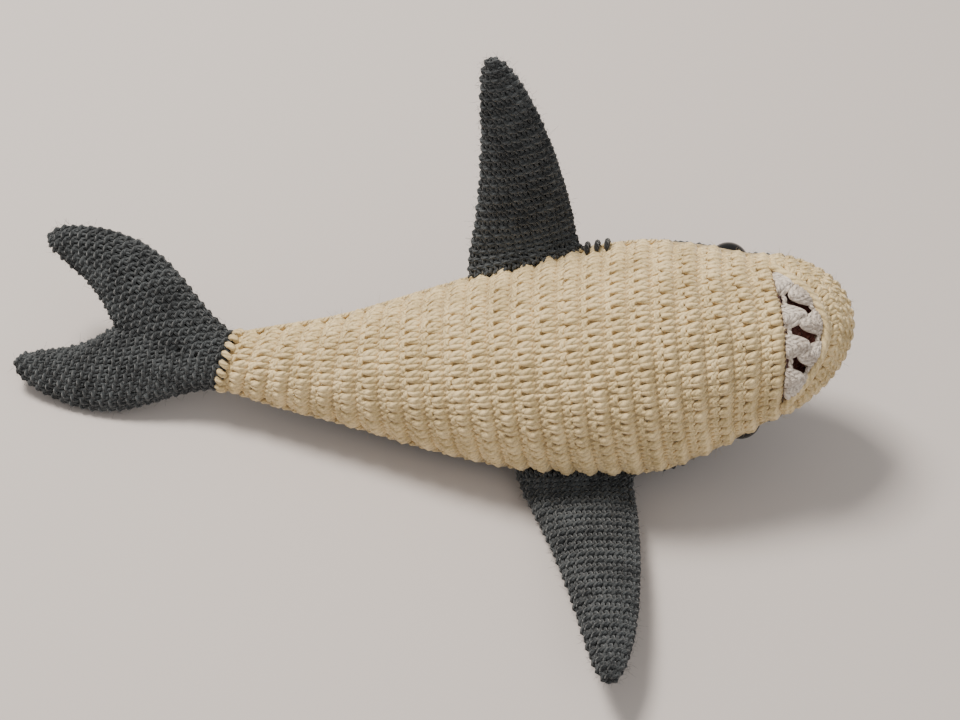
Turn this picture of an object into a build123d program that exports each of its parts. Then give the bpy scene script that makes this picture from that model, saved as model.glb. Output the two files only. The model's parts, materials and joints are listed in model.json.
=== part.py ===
from build123d import *
import math
import os

# A stuffed crochet shark, lying rolled on its back. Lengths are in millimetres, angles in degrees.
#
# Every piece is drawn in the shark's own frame: +X to the nose, +Z out of the belly, and +Y to the
# shark's right, with X = 0 where the back touches the ground. The finished pieces are then rolled,
# tipped and set down, so that in the part's frame +Z is up and the ground is at Z = 0.

# Fabric
FABRIC = 4.0  # thickness of the crocheted panels of the body
FIN_FABRIC = 2.8  # thickness of the crocheted fins
STUFFING_GAP = 0.4  # room between a panel and the stuffing behind it
SEAM_HALF = 1.0  # half the width of the side seam
STITCH_PROUD = 1.8  # how far sewn stitches stand out of the fabric
STITCH_GAP = 0.15  # room between a stitch and the fabric under it

# Body: (station along X, half width), then an ellipse for the blunt nose
BODY_STATIONS = [
    (-174.0, 9.9),
    (-158.5, 13.1),
    (-134.0, 18.8),
    (-100.0, 26.2),
    (-62.0, 37.0),
    (-28.0, 45.4),
    (0.0, 50.2),
    (22.0, 52.3),
    (42.0, 51.9),
    (64.0, 47.2),
]
NOSE_CENTRE = 66.0
NOSE_LENGTH = 65.2
NOSE_HALF_WIDTH = 41.3
NOSE_FRACTIONS = [0.31, 0.58, 0.78, 0.91, 0.975, 0.998]
BELLY_DEPTH = 0.80  # depth of the belly below the side seam, per half width
BACK_DEPTH = 0.95  # the same for the back
BEND = 11.4  # sideways bend of the body towards its right, at each end
BEND_CENTRE = -8.0
BEND_REACH = 142.0

# Mouth: two arcs between the same corners
MOUTH_CORNER_X = 97.3
MOUTH_HALF_WIDTH = 32.0
BELLY_LIP_X = 101.7
SNOUT_LIP_X = 118.2
MOUTH_FLOOR_Z = 9.0
LINING_WALL = 2.0
TOOTH_BASE = 9.5
TOOTH_BAND = 1.8
TOOTH_TOP = 0.5  # depth of the teeth's outer face under the body's surface
TOOTH_THICKNESS = 3.0
LOWER_TEETH = [(-18.5, 7.0), (-4.5, 8.5), (9.5, 8.5), (23.5, 5.0)]  # (place across the mouth, length)
UPPER_TEETH = [(-24.0, 4.5), (-10.5, 7.5), (3.0, 7.5), (16.5, 6.0)]

# Eyes
EYE_X = 80.0
EYE_BELOW_SEAM = 13.0
EYE_RADIUS = 8.0
EYE_HEIGHT = 4.5
EYE_SINK = 1.5
STEM_RADIUS = 2.0
STEM_LENGTH = 13.0
STEM_CLEARANCE = 0.15
WASHER_RADIUS = 7.0
WASHER_THICKNESS = 1.6
WASHER_DEPTH = 5.4

# Gill stitches on each side: X of the first one, and how far below the side seam they are centred
GILL_COUNT = 3
GILL_PITCH = 4.6
GILL_RADIUS = 1.1
GILL_LENGTH = 14.0
GILL_PROUD = 2.1  # how far a stitch's middle line stands off the body
GILLS = {"right": (18.2, -2.0), "left": (41.3, 10.0)}

# Fins: the share of a fin's span at each section, and how much its chord and depth taper over the span
FIN_SECTIONS = [0.0, 0.04, 0.1, 0.18, 0.28, 0.4, 0.52, 0.64, 0.75, 0.84, 0.91, 0.955, 0.985, 0.997]
FIN_CHORD_TAPER = 0.72
FIN_DEPTH_TAPER = 0.30
FIN_TIP_ROUNDING = 11.0
FIN_HOLLOW_TO = 0.75  # the stuffing ends at this share of the span
FIN_ROOT_GAP = 0.9

# Pectoral fins: place of the root, yaw of the root, tilt to the belly, span, half chord and half depth at
# the root, and how far the tip and the middle of the fin lie towards the nose
PECTORALS = {
    "right": (-13.3, 6.7, 34.5, 98.5, 25.4, 7.5, 10.6, 4.1),
    "left": (1.5, 1.8, 50.0, 109.5, 26.0, 6.8, 19.0, 4.3),
}

# Dorsal fin: place of the root, lean to the right, then the same measures as for a pectoral fin
DORSAL = (4.0, 50.0, 56.0, 27.0, 5.2, -17.0, 0.0)

# Tail fin: the body ends square to the tail's own axis, which swings to the right. One lobe's sections
# run along that axis (distance back from the hinge, centre, half width, half depth).
TAIL_END = -158.5
TAIL_SWING = 22.0
TAIL_SEAM = 2.5
TAIL_HOLLOW_TO = 72.5  # the stuffing ends this far back
TAIL_LOBE = [
    (0.0, 0.0, 12.2, 8.5),
    (6.0, 3.0, 17.0, 8.4),
    (12.0, 7.0, 20.6, 8.3),
    (18.0, 10.0, 22.0, 8.2),
    (24.0, 12.5, 22.8, 8.0),
    (30.0, 15.3, 22.8, 7.8),
    (36.0, 18.1, 22.2, 7.6),
    (41.0, 20.4, 21.4, 7.4),
    (45.0, 22.5, 20.2, 7.2),
    (49.0, 24.6, 18.4, 7.0),
    (53.0, 26.5, 16.4, 6.8),
    (58.0, 28.1, 14.6, 6.5),
    (63.0, 29.2, 12.9, 6.2),
    (68.0, 29.9, 11.3, 5.9),
    (72.5, 30.3, 9.7, 5.6),
    (76.2, 30.5, 8.3, 5.2),
    (79.7, 30.6, 6.8, 4.7),
    (82.4, 30.6, 5.3, 4.0),
    (84.6, 30.5, 3.6, 3.0),
    (86.0, 30.4, 1.9, 1.8),
]

# Sections that round the root of a fin, as degrees round from its hinge line
ROOT_TURNS = [76.0, 52.0, 26.0]

# How the shark lies
ROLL = 43.0
TIP = 10.7
REST_DEPTH = 1.2  # how much of the back is pressed flat against the ground


def bend(x):
    """How far the body's middle lies to its right at x."""
    return BEND * ((x - BEND_CENTRE) / BEND_REACH) ** 2


def body_stations(grow):
    """(station along X, half width) from the tail to the nose, grown by a distance all round."""
    stations = [(x, w + grow) for x, w in BODY_STATIONS]
    for part in NOSE_FRACTIONS:
        x = NOSE_CENTRE + (NOSE_LENGTH + grow) * part
        stations.append((x, (NOSE_HALF_WIDTH + grow) * math.sqrt(1.0 - part**2)))
    return stations


def half_width(x):
    """Half the width of the body at x."""
    return along(body_stations(0), x)


def along(table, at):
    """The value of a table of (place, value) at a place."""
    for (x0, v0), (x1, v1) in zip(table, table[1:]):
        if at <= x1:
            return v0 + (v1 - v0) * (at - x0) / (x1 - x0)
    return table[-1][1]


def egg(half_across, above, below):
    """A face bounded by two half ellipses that share their width."""
    upper = EllipticalCenterArc((0, 0), half_across, above, 0, arc_size=180)
    lower = EllipticalCenterArc((0, 0), half_across, below, 180, arc_size=180)
    return make_face([upper, lower])


def body_section(x, w, grow):
    """The body's egg-shaped section, flatter on the belly than on the back."""
    plane = Plane(origin=(x, bend(x), 0), x_dir=(0, 1, 0), z_dir=(1, 0, 0))
    belly = max((w - grow) * BELLY_DEPTH + grow, 0.6)
    back = max((w - grow) * BACK_DEPTH + grow, 0.6)
    return plane * egg(w, belly, back)


def body_form(grow):
    """The whole body, grown by a distance all round."""
    return loft([body_section(x, w, grow) for x, w in body_stations(grow)])


def prism(outline, low, high):
    """An outline in the XY plane, extruded from low to high."""
    return extrude(Pos(0, 0, low) * outline, high - low)


def half_space(low, high):
    """A slab far larger than the shark, between two heights."""
    return Pos(0, 0, (low + high) / 2) * Box(600, 300, high - low)


def tail_axis():
    """The direction of the tail's own axis, away from the nose."""
    swing = math.radians(TAIL_SWING)
    return Vector(-math.cos(swing), math.sin(swing), 0)


def ahead_of_tail(back):
    """Everything on the nose's side of a plane square to the tail's axis, a distance behind the body's end."""
    end = Vector(TAIL_END, bend(TAIL_END), 0) + tail_axis() * back
    return Plane(origin=end, z_dir=tail_axis()) * (Pos(0, 0, -300) * Box(600, 600, 600))


def side_of_body(side):
    """Everything to the right of the body's middle (side 1) or to the left of it (side -1)."""
    return Pos(0, side * 75 + bend(NOSE_CENTRE + NOSE_LENGTH), 0) * Box(600, 150, 300)


def mouth_outline():
    """The open crescent of the mouth, seen from the belly."""
    y = bend(MOUTH_CORNER_X)
    right = (MOUTH_CORNER_X, y + MOUTH_HALF_WIDTH)
    left = (MOUTH_CORNER_X, y - MOUTH_HALF_WIDTH)
    belly_lip = ThreePointArc(left, (BELLY_LIP_X, y), right)
    snout_lip = ThreePointArc(right, (SNOUT_LIP_X, y), left)
    return make_face([belly_lip, snout_lip])


def side_of_lip(lip_x, far_x):
    """Everything between a lip and far_x: the lip's arc, carried straight out past its corners."""
    y = bend(MOUTH_CORNER_X)
    right = (MOUTH_CORNER_X, y + MOUTH_HALF_WIDTH)
    left = (MOUTH_CORNER_X, y - MOUTH_HALF_WIDTH)
    lip = ThreePointArc(left, (lip_x, y), right)
    around = Polyline(right, (MOUTH_CORNER_X, 150), (far_x, 150), (far_x, -150), (MOUTH_CORNER_X, -150), left)
    return make_face([lip, around])


def lip_arc(middle_x, y):
    """X of a lip at a place across the mouth."""
    rise = middle_x - MOUTH_CORNER_X
    radius = (MOUTH_HALF_WIDTH**2 + rise**2) / (2 * rise)
    return middle_x - radius + math.sqrt(radius**2 - y**2)


def teeth_outline(lip_x, teeth, direction):
    """A band along a lip, with a triangle for each tooth."""
    middle = bend(MOUTH_CORNER_X)
    first, last = teeth[0][0] - TOOTH_BASE / 2 - 1, teeth[-1][0] + TOOTH_BASE / 2 + 1
    gap = 0.4 * direction
    edge = []
    for y in (first, (first + last) / 2, last):
        edge.append((lip_arc(lip_x, y) + gap, middle + y))
    near_lip = ThreePointArc(*edge)
    far = []
    for place, length in teeth:
        root = TOOTH_BAND * direction
        tip = length * direction
        for y, reach in ((-TOOTH_BASE / 2, root), (-0.5, tip), (0.5, tip), (TOOTH_BASE / 2, root)):
            far.append((lip_arc(lip_x, place + y) + reach, middle + place + y))
    path = Polyline(edge[0], *far, edge[2])
    return make_face([near_lip, path])


def surface_frame(x, below_seam, side):
    """The place and outward direction of the back's surface at an angle below the side seam."""
    turn = math.radians(below_seam)
    w = half_width(x)
    y = bend(x) + side * w * math.cos(turn)
    z = -BACK_DEPTH * w * math.sin(turn)
    slope = (half_width(x + 2) - half_width(x - 2)) / 4
    out = Vector(-slope, side * math.cos(turn), -math.sin(turn) / BACK_DEPTH)
    return Vector(x, y, z), out.normalized()


def eye_pieces(side, form):
    """A domed eye on a stem, its washer, the hole in the fabric and the room in the stuffing."""
    place, out = surface_frame(EYE_X, EYE_BELOW_SEAM, side)
    plane = Plane(origin=place, z_dir=out)
    sphere = (EYE_RADIUS**2 + EYE_HEIGHT**2) / (2 * EYE_HEIGHT)
    ball = Pos(0, 0, EYE_HEIGHT - sphere) * Sphere(sphere)
    cap = ball & (Pos(0, 0, EYE_HEIGHT / 2 - EYE_SINK / 2) * Box(40, 40, EYE_HEIGHT + EYE_SINK))
    dome = (plane * cap) - form
    stem = plane * (Pos(0, 0, 1 - STEM_LENGTH / 2) * Cylinder(STEM_RADIUS, STEM_LENGTH))
    hole = STEM_RADIUS + STEM_CLEARANCE
    disc = Cylinder(WASHER_RADIUS, WASHER_THICKNESS) - Cylinder(hole, WASHER_THICKNESS)
    washer = plane * (Pos(0, 0, -WASHER_DEPTH - WASHER_THICKNESS / 2) * disc)
    bore = plane * Cylinder(hole, 4 * STEM_LENGTH)
    pocket = plane * (Pos(0, 0, -STEM_LENGTH / 2) * Cylinder(WASHER_RADIUS + 0.6, STEM_LENGTH + 1))
    return dome + stem, washer, bore, pocket


def gill_stitches(name, side):
    """Straight stitches that lie across the side seam or just below it, side by side."""
    first, below_seam = GILLS[name]
    stitches = []
    for i in range(GILL_COUNT):
        place, out = surface_frame(first + i * GILL_PITCH, below_seam, side)
        forward = (Vector(1, 0, 0) - out * out.X).normalized()
        plane = Plane(origin=place + out * GILL_PROUD, x_dir=forward, z_dir=out)
        bar = Cylinder(GILL_RADIUS, GILL_LENGTH - 2 * GILL_RADIUS)
        bar = bar + Pos(0, 0, GILL_LENGTH / 2 - GILL_RADIUS) * Sphere(GILL_RADIUS)
        bar = bar + Pos(0, 0, GILL_RADIUS - GILL_LENGTH / 2) * Sphere(GILL_RADIUS)
        stitches.append(plane * Rot(90, 0, 0) * bar)
    return Compound(stitches)


def ring_outline(half_length, half_across, wide):
    """A rounded ring that goes round the root of a fin."""
    outer = SlotOverall(2 * (half_length + wide), 2 * (half_across + wide))
    inner = SlotOverall(2 * half_length, 2 * half_across)
    return outer - inner


def fin_form(plane, measures, shrink=0.0):
    """A fin that stands on a plane: its chord along the plane's X, its root rounded about that axis."""
    span, half_chord, half_depth, lean, bow = measures
    faces = []
    for turn in ROOT_TURNS:
        depth = (half_depth - shrink) * math.cos(math.radians(turn))
        sunk = (half_depth - shrink) * math.sin(math.radians(turn))
        faces.append(plane.offset(-sunk) * Ellipse(half_chord - shrink, depth))
    for t in FIN_SECTIONS:
        tip = math.sqrt(1 - t**FIN_TIP_ROUNDING)
        chord = half_chord * (1 - FIN_CHORD_TAPER * t) * tip - shrink
        depth = half_depth * (1 - FIN_DEPTH_TAPER * t) * tip - shrink
        if shrink and t > FIN_HOLLOW_TO:
            break
        shift = lean * t + 4 * bow * t * (1 - t)
        faces.append(plane.offset(span * t) * (Pos(shift, 0) * Ellipse(chord, depth)))
    return loft(faces)


def fin_pieces(plane, measures):
    """The fabric and the stuffing of a fin."""
    shell = fin_form(plane, measures) - fin_form(plane, measures, FIN_FABRIC)
    return shell, fin_form(plane, measures, FIN_FABRIC + STUFFING_GAP)


def pectoral_frames(name):
    """Two planes with X along a pectoral fin's root: one faces out of the body, one along the fin."""
    x, yaw, tilt, _, _, half_depth, _, _ = PECTORALS[name]
    side = 1 if name == "right" else -1
    yaw, tilt = math.radians(yaw), math.radians(tilt)
    chord = Vector(math.cos(yaw), side * math.sin(yaw), 0)
    out = Vector(-math.sin(yaw), side * math.cos(yaw), 0)
    hinge = Vector(x, bend(x) + side * half_width(x), 0) + out * (half_depth + FIN_ROOT_GAP)
    span = out * math.cos(tilt) + Vector(0, 0, 1) * math.sin(tilt)
    return Plane(hinge, x_dir=chord, z_dir=out), Plane(hinge, x_dir=chord, z_dir=span)


def dorsal_frames():
    """Two planes with X along the dorsal fin's root: one faces out of the back, one along the fin."""
    x, lean, _, _, half_depth, _, _ = DORSAL
    slope = BACK_DEPTH * (half_width(x + 20) - half_width(x - 20)) / 40
    chord = Vector(1, 0, -slope).normalized()
    out = Vector(-slope, 0, -1).normalized()
    hinge = Vector(x, bend(x), -BACK_DEPTH * half_width(x)) + out * (half_depth + FIN_ROOT_GAP)
    span = out.rotate(Axis((0, 0, 0), chord), lean)
    return Plane(hinge, x_dir=chord, z_dir=out), Plane(hinge, x_dir=chord, z_dir=span)


def fin_seam(plane, half_chord, half_depth, skin):
    """The ring of stitches that sews a fin to the body."""
    ring = ring_outline(half_chord + 1.4, half_depth + 1.2, 2.2)
    return skin & (plane * Pos(0, 0, -30) * extrude(ring, 34))


def tail_plane():
    """A plane on the tail's hinge: X back along the tail's own axis, Y to the shark's right."""
    end = Vector(TAIL_END, bend(TAIL_END), 0)
    hinge = end + tail_axis() * (TAIL_SEAM + FIN_ROOT_GAP + TAIL_LOBE[0][2])
    return Plane(origin=hinge, x_dir=tail_axis(), z_dir=(0, 0, -1))


def tail_form(shrink):
    """Two leaf-shaped lobes, mirror images that meet on the tail's own middle plane."""
    root_across, root_depth = TAIL_LOBE[0][2] - shrink, TAIL_LOBE[0][3] - shrink
    stations = []
    for turn in ROOT_TURNS:
        back = -root_across * math.sin(math.radians(turn))
        stations.append((back, 0.0, root_across * math.cos(math.radians(turn)), root_depth))
    for back, centre, across, depth in TAIL_LOBE:
        if shrink and back > TAIL_HOLLOW_TO:
            break
        stations.append((back, centre, across - shrink, depth - shrink))
    faces = []
    for back, centre, across, depth in stations:
        station = Plane(origin=(back, centre, 0), x_dir=(0, 1, 0), z_dir=(1, 0, 0))
        faces.append(station * Ellipse(across, depth))
    lobe = loft(faces) & (Pos(0, 100, 0) * Box(400, 200, 100))
    return tail_plane() * (lobe + mirror(lobe, Plane.XZ))


def tail_seam():
    """The ring of stitches between the body's open tail end and the tail fin."""
    wall = body_form(STITCH_PROUD / 2) - body_form(-FABRIC)
    return (wall & ahead_of_tail(TAIL_SEAM)) - ahead_of_tail(0)


def set_down(piece):
    """Rolls and tips a piece the way the shark lies."""
    return Rot(0, -TIP, 0) * Rot(ROLL, 0, 0) * piece


def body_pieces():
    form = body_form(0)
    inner = body_form(-FABRIC)
    shell = (form - inner) & ahead_of_tail(0)
    skin = body_form(STITCH_PROUD) - body_form(STITCH_GAP)
    stuffing = body_form(-FABRIC - STUFFING_GAP) & ahead_of_tail(0)
    belly = shell & half_space(SEAM_HALF, 90)
    back = shell & half_space(-90, -SEAM_HALF)
    ring = shell & half_space(-SEAM_HALF, SEAM_HALF)

    pieces = {}
    pieces["belly_panel"] = belly & prism(side_of_lip(BELLY_LIP_X, -300), 0, 90)
    pieces["snout_panel"] = belly & prism(side_of_lip(SNOUT_LIP_X, 300), 0, 90)

    mouth = mouth_outline()
    wall = offset(mouth, amount=LINING_WALL)
    room = offset(mouth, amount=LINING_WALL + STUFFING_GAP)
    hollow = prism(mouth, MOUTH_FLOOR_Z, 90)
    pieces["mouth_lining"] = (stuffing & prism(wall, MOUTH_FLOOR_Z - LINING_WALL, 90)) - hollow
    stuffing -= prism(room, MOUTH_FLOOR_Z - LINING_WALL - STUFFING_GAP, 90)

    gum = body_form(-TOOTH_TOP) - body_form(-TOOTH_TOP - TOOTH_THICKNESS)
    pieces["lower_teeth"] = gum & prism(teeth_outline(BELLY_LIP_X, LOWER_TEETH, 1), 5, 90)
    pieces["upper_teeth"] = gum & prism(teeth_outline(SNOUT_LIP_X, UPPER_TEETH, -1), 5, 90)

    for name, side in (("right", 1), ("left", -1)):
        eye, washer, bore, pocket = eye_pieces(side, form)
        pieces[name + "_eye"] = eye
        pieces[name + "_eye_washer"] = washer
        back -= bore
        stuffing -= pocket
        pieces[name + "_side_seam"] = ring & side_of_body(side)
        pieces[name + "_gill_stitches"] = gill_stitches(name, side)
        _, _, _, _, half_chord, half_depth, _, _ = PECTORALS[name]
        pieces[name + "_pectoral_seam"] = fin_seam(pectoral_frames(name)[0], half_chord, half_depth, skin)

    pieces["back_panel"] = back
    pieces["body_stuffing"] = stuffing
    _, _, _, half_chord, half_depth, _, _ = DORSAL
    pieces["dorsal_seam"] = fin_seam(dorsal_frames()[0], half_chord, half_depth, skin)
    pieces["tail_seam"] = tail_seam()
    return pieces


def fins():
    """The fabric and the stuffing of each fin."""
    pieces = {}
    for name, fin in PECTORALS.items():
        shell, fill = fin_pieces(pectoral_frames(name)[1], fin[3:])
        pieces[name + "_pectoral_fin"] = shell
        pieces[name + "_pectoral_stuffing"] = fill
    pieces["dorsal_fin"], pieces["dorsal_stuffing"] = fin_pieces(dorsal_frames()[1], DORSAL[2:])
    pieces["tail_fin"] = tail_form(0) - tail_form(FIN_FABRIC)
    pieces["tail_stuffing"] = tail_form(FIN_FABRIC + STUFFING_GAP)
    return pieces


def hinges():
    """Each hinge's place and the direction of its axis, in the shark's own frame."""
    right, left = pectoral_frames("right")[1], pectoral_frames("left")[1]
    dorsal, tail = dorsal_frames()[1], tail_plane()
    return {
        "right_pectoral_flap": (right.origin, right.x_dir),
        "left_pectoral_flap": (left.origin, -left.x_dir),
        "dorsal_lean": (dorsal.origin, dorsal.x_dir),
        "tail_swing": (tail.origin, Vector(0, 0, 1)),
    }


def main():
    pieces = {name: set_down(piece) for name, piece in {**body_pieces(), **fins()}.items()}

    # The ground cuts a flat patch on the back; the middle of that patch is the part's origin.
    back = pieces["back_panel"]
    ground = back.bounding_box().min.Z + REST_DEPTH
    back -= Pos(0, 0, ground - 50) * Box(900, 900, 100)
    patch = back.faces().filter_by(Axis.Z).sort_by(Axis.Z)[0]
    centre = patch.center()
    pieces["back_panel"] = back

    os.makedirs("parts", exist_ok=True)
    for name, piece in pieces.items():
        piece = Pos(-centre.X, -centre.Y, -ground) * piece
        export_step(piece, "parts/" + name + ".step")
        print(name, len(piece.solids()), round(piece.volume), piece.bounding_box())
    print("resting patch", patch.bounding_box().size)
    for name, (origin, axis) in hinges().items():
        place = set_down(Pos(*origin) * Vertex(0, 0, 0)).center() - Vector(centre.X, centre.Y, ground)
        direction = set_down(Vertex(*axis)).center()
        print(name, place, direction)


main()
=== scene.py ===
import json
import math

import bpy
import numpy as np
from mathutils import Matrix, Vector


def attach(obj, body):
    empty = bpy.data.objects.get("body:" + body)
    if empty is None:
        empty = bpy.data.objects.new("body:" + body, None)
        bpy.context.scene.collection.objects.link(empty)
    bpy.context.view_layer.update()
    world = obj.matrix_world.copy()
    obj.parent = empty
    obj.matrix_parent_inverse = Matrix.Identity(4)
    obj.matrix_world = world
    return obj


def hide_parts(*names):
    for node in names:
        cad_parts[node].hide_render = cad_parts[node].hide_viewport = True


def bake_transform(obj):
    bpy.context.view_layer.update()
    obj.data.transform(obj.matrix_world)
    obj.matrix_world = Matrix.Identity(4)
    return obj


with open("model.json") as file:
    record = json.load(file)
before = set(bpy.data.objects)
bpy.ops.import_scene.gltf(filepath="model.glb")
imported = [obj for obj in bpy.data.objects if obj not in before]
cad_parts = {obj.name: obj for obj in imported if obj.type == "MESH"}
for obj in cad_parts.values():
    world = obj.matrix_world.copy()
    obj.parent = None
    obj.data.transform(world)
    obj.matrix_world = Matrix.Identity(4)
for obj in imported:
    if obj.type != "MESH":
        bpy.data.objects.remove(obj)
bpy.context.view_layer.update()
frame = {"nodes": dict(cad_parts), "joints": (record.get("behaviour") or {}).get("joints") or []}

# A stuffed crochet shark. Every strand of yarn is a tube laid over the surfaces of the CAD model.
# Lengths are in metres. Surfaces are drawn in the shark's own frame, as in the CAD: +X to the nose,
# +Z out of the belly and +Y to the shark's right. place() rolls and tips them the way the shark lies.
ROLL, TIP = math.radians(43.0), math.radians(10.7)

# Body: (station along X, half width), then an ellipse for the blunt nose
BODY_STATIONS = [
    (-0.174, 0.0099), (-0.1585, 0.0131), (-0.134, 0.0188), (-0.100, 0.0262), (-0.062, 0.0370),
    (-0.028, 0.0454), (0.0, 0.0502), (0.022, 0.0523), (0.042, 0.0519), (0.064, 0.0472),
]
TAIL_END_WIDTH, TAIL_SEAM_AHEAD = BODY_STATIONS[1][1], 0.0005
NOSE_CENTRE, NOSE_LENGTH, NOSE_HALF_WIDTH = 0.066, 0.0652, 0.0413
NOSE_TIP = NOSE_CENTRE + NOSE_LENGTH
NOSE_FRACTIONS = [0.31, 0.58, 0.78, 0.91, 0.975, 0.998, 1.0]
BELLY_DEPTH, BACK_DEPTH = 0.80, 0.95  # depths of the body's section, per half width
BEND, BEND_CENTRE, BEND_REACH = 0.0114, -0.008, 0.142
TAIL_END, TAIL_SWING = -0.1585, math.radians(22.0)
SLANT_FROM = -0.055  # station where the rows begin to lean with the oblique tail end
LIP_CURVE_FROM = 0.050  # station where the rows begin to curve with the lip
SEAM_OVERLAP = 0.02  # how far the end stitches of a row may pass the side seam, of the row's width

# Mouth, seen from the belly: two arcs between the same corners
MOUTH_CORNER, MOUTH_HALF_WIDTH = 0.0973, 0.032
BELLY_LIP, SNOUT_LIP = 0.1017, 0.1182
MOUTH_DEPTH, LINING_SINK = 0.013, 0.0006
TOOTH_BASE = 0.0105
TOOTH_LOOPS = ((1.0, 1.0, 0.0), (0.62, 0.72, 0.0007), (0.25, 0.42, 0.0010))  # width, length, height
TOOTH_BARS = 4
TOOTH_YARN, TOOTH_BAR_YARN, BAND_YARN, LINING_YARN = 0.0015, 0.0011, 0.00105, 0.0011
BAND_STITCHES, BAND_HALF_WIDTH = 18, 0.0255
LIP_ROLL, LIP_ROLL_AHEAD = 0.0019, 0.0012
TOOTH_UP = np.array([0.2, 0.0, 1.0])
LOWER_TEETH = [(-0.0185, 0.0075), (-0.0045, 0.0095), (0.0095, 0.0095), (0.0235, 0.006)]
UPPER_TEETH = [(-0.024, 0.0055), (-0.0105, 0.0085), (0.003, 0.0085), (0.0165, 0.007)]

# Fins: station of the root, yaw and tilt in degrees, span, half chord, half depth, then how far the tip
# leans to the nose and how far the fin bows to it. The dorsal fin has no yaw.
PECTORALS = {
    "right": (-0.0133, 6.7, 34.5, 0.0985, 0.0254, 0.0075, 0.0106, 0.0041),
    "left": (0.0015, 1.8, 50.0, 0.1095, 0.026, 0.0068, 0.0190, 0.0043),
}
DORSAL = (0.004, 50.0, 0.056, 0.027, 0.0052, -0.017, 0.0)
CHORD_TAPER, DEPTH_TAPER, TIP_ROUNDING = 0.72, 0.30, 11.0
ROOT_GAP = 0.0009
FIN_SUNK, TILT_LENGTH = 0.006, 0.010  # how far a fin goes on inside the body, and where its tilt ends
FLARE_REACH, CHORD_FLARE, DEPTH_FLARE = 1.6, 0.07, 0.12  # widening of the root, per half depth
FIN_SECTION = 0.32  # depth of a fin's section per chord, for even stitches round it
TAIL_SECTION = 0.38
TAIL_SEAM, TAIL_ROOT = 0.0025, 0.0122
TAIL_BEND_BEFORE, TAIL_BEND_AFTER = 0.015, 0.012  # distances before and after the tail's hinge
LOBE_OVERLAP = 0.0004  # how far the stitches of a lobe may pass the tail's middle line

# Tail, one lobe, from the hinge: (inner edge back and across, outer edge back and across, half depth)
TAIL_LOBE = np.array([
    (-0.0160, -0.0133, -0.0160, 0.0133, 0.0112),
    (-0.0080, -0.0150, -0.0080, 0.0160, 0.0096),
    (0.0, -0.0150, 0.0, 0.0200, 0.0088),
    (0.0080, -0.0140, 0.0080, 0.0250, 0.0084),
    (0.0180, -0.0120, 0.0180, 0.0318, 0.0082),
    (0.0270, -0.0090, 0.0280, 0.0376, 0.0079),
    (0.0350, -0.0050, 0.0370, 0.0412, 0.0076),
    (0.0410, -0.0010, 0.0450, 0.0428, 0.0074),
    (0.0460, 0.0030, 0.0530, 0.0432, 0.0072),
    (0.0520, 0.0095, 0.0620, 0.0428, 0.0068),
    (0.0590, 0.0145, 0.0700, 0.0415, 0.0064),
    (0.0665, 0.0186, 0.0765, 0.0398, 0.0059),
    (0.0730, 0.0214, 0.0818, 0.0376, 0.0053),
    (0.0790, 0.0243, 0.0850, 0.0346, 0.0043),
    (0.0830, 0.0266, 0.0860, 0.0318, 0.0029),
    (0.0852, 0.0288, 0.0858, 0.0298, 0.0009),
])

# Eyes: station, and how far below the side seam in degrees, the same on both sides as in the CAD
EYE_SPOTS = {"right": (0.080, 13.0), "left": (0.080, 13.0)}
EYE_CLEARANCE, SEAM_CLEARANCE = 0.0092, 0.0012
FLANK_SEAM_TO, NOSE_SEAM_FROM = 0.055, 0.098  # the sewing stitches leave out the eyes

# Gill stitches: station of the first one, and how far below the side seam in degrees
GILLS = {"right": (0.0162, -9.0), "left": (0.0413, 13.0)}
GILL_COUNT, GILL_PITCH, GILL_RADIUS = 3, 0.0046, 0.00125
GILL_LIFT, GILL_HALF_TURN = 0.0026, 0.13775  # height over the body, and half length as an angle

# Yarn
BODY_ROW, BODY_STITCH, BODY_YARN = 0.00533, 0.0059, 0.00147
FIN_ROW, FIN_STITCH, FIN_YARN = 0.0044, 0.0045, 0.00100
CORE_DEPTH, FIN_CORE_DEPTH = 0.0016, 0.0017  # how far the backing lies under the fabric's surface; the backing takes the darker shade yarn, which is painted shade
END_TAPER = 0.45  # radius of a strand's hidden ends, per its own
UNEVEN = (0.03, 0.025, 0.11)  # spread of the strands across, along and in height, in the paths' units
SIZE_SPREAD = 0.05
FIBRE_RADIUS, FIBRE_POINTS, FIBRE_ROOT = 0.00004, 4, 0.0007
FIBRE_LENGTH = (0.0008, 0.0018)  # shortest and longest
FIBRES = {"belly": 1200, "snout": 300, "back": 200, "pectoral": 1400, "dorsal": 700, "tail lobe": 600}
RIDGE_HEIGHT, RIDGE_START = 0.0009, 1.2  # ridge of each pair of belly rows, and the row of its crest
BODY_HEIGHT, FIN_HEIGHT, LINING_HEIGHT = 0.001, 0.0008, 0.0006  # relief of a stitch
SETTLE_SOFTNESS = 0.0002
GROUND = 0.0003  # lowest height of the fabric over the ground

# Sewing stitches: spacing, reach to each side of the seam, radius, slant, and height over the fabric
FLANK_SEWING = (0.0052, 0.0034, BODY_YARN * 0.9, 0.7, -0.0002)
NOSE_SEWING = (0.0046, 0.0036, BODY_YARN, 0.5, 0.0004)
FIN_SEWING = (0.0046, 0.0019, FIN_YARN * 0.75, 0.4, 0.0005)
TAIL_SEWING = (0.0043, 0.0023, BODY_YARN * 1.1, 0.35, 0.0011)
SEAM_CORD, SEAM_CORD_SINK = 0.0016, 0.0012  # radius of the cord under the side seams, and its depth; the cord takes the darker shade yarn, painted shade along the seam
FIN_SEAM_INSET, FIN_SEAM_LIFT = 0.004, 0.0006

SNOUT_STITCHES = (15, 16, 17, 17, 18)  # in each row, from the lip to the side seam
LINING_STITCHES = (14, 14, 13, 13)

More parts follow.
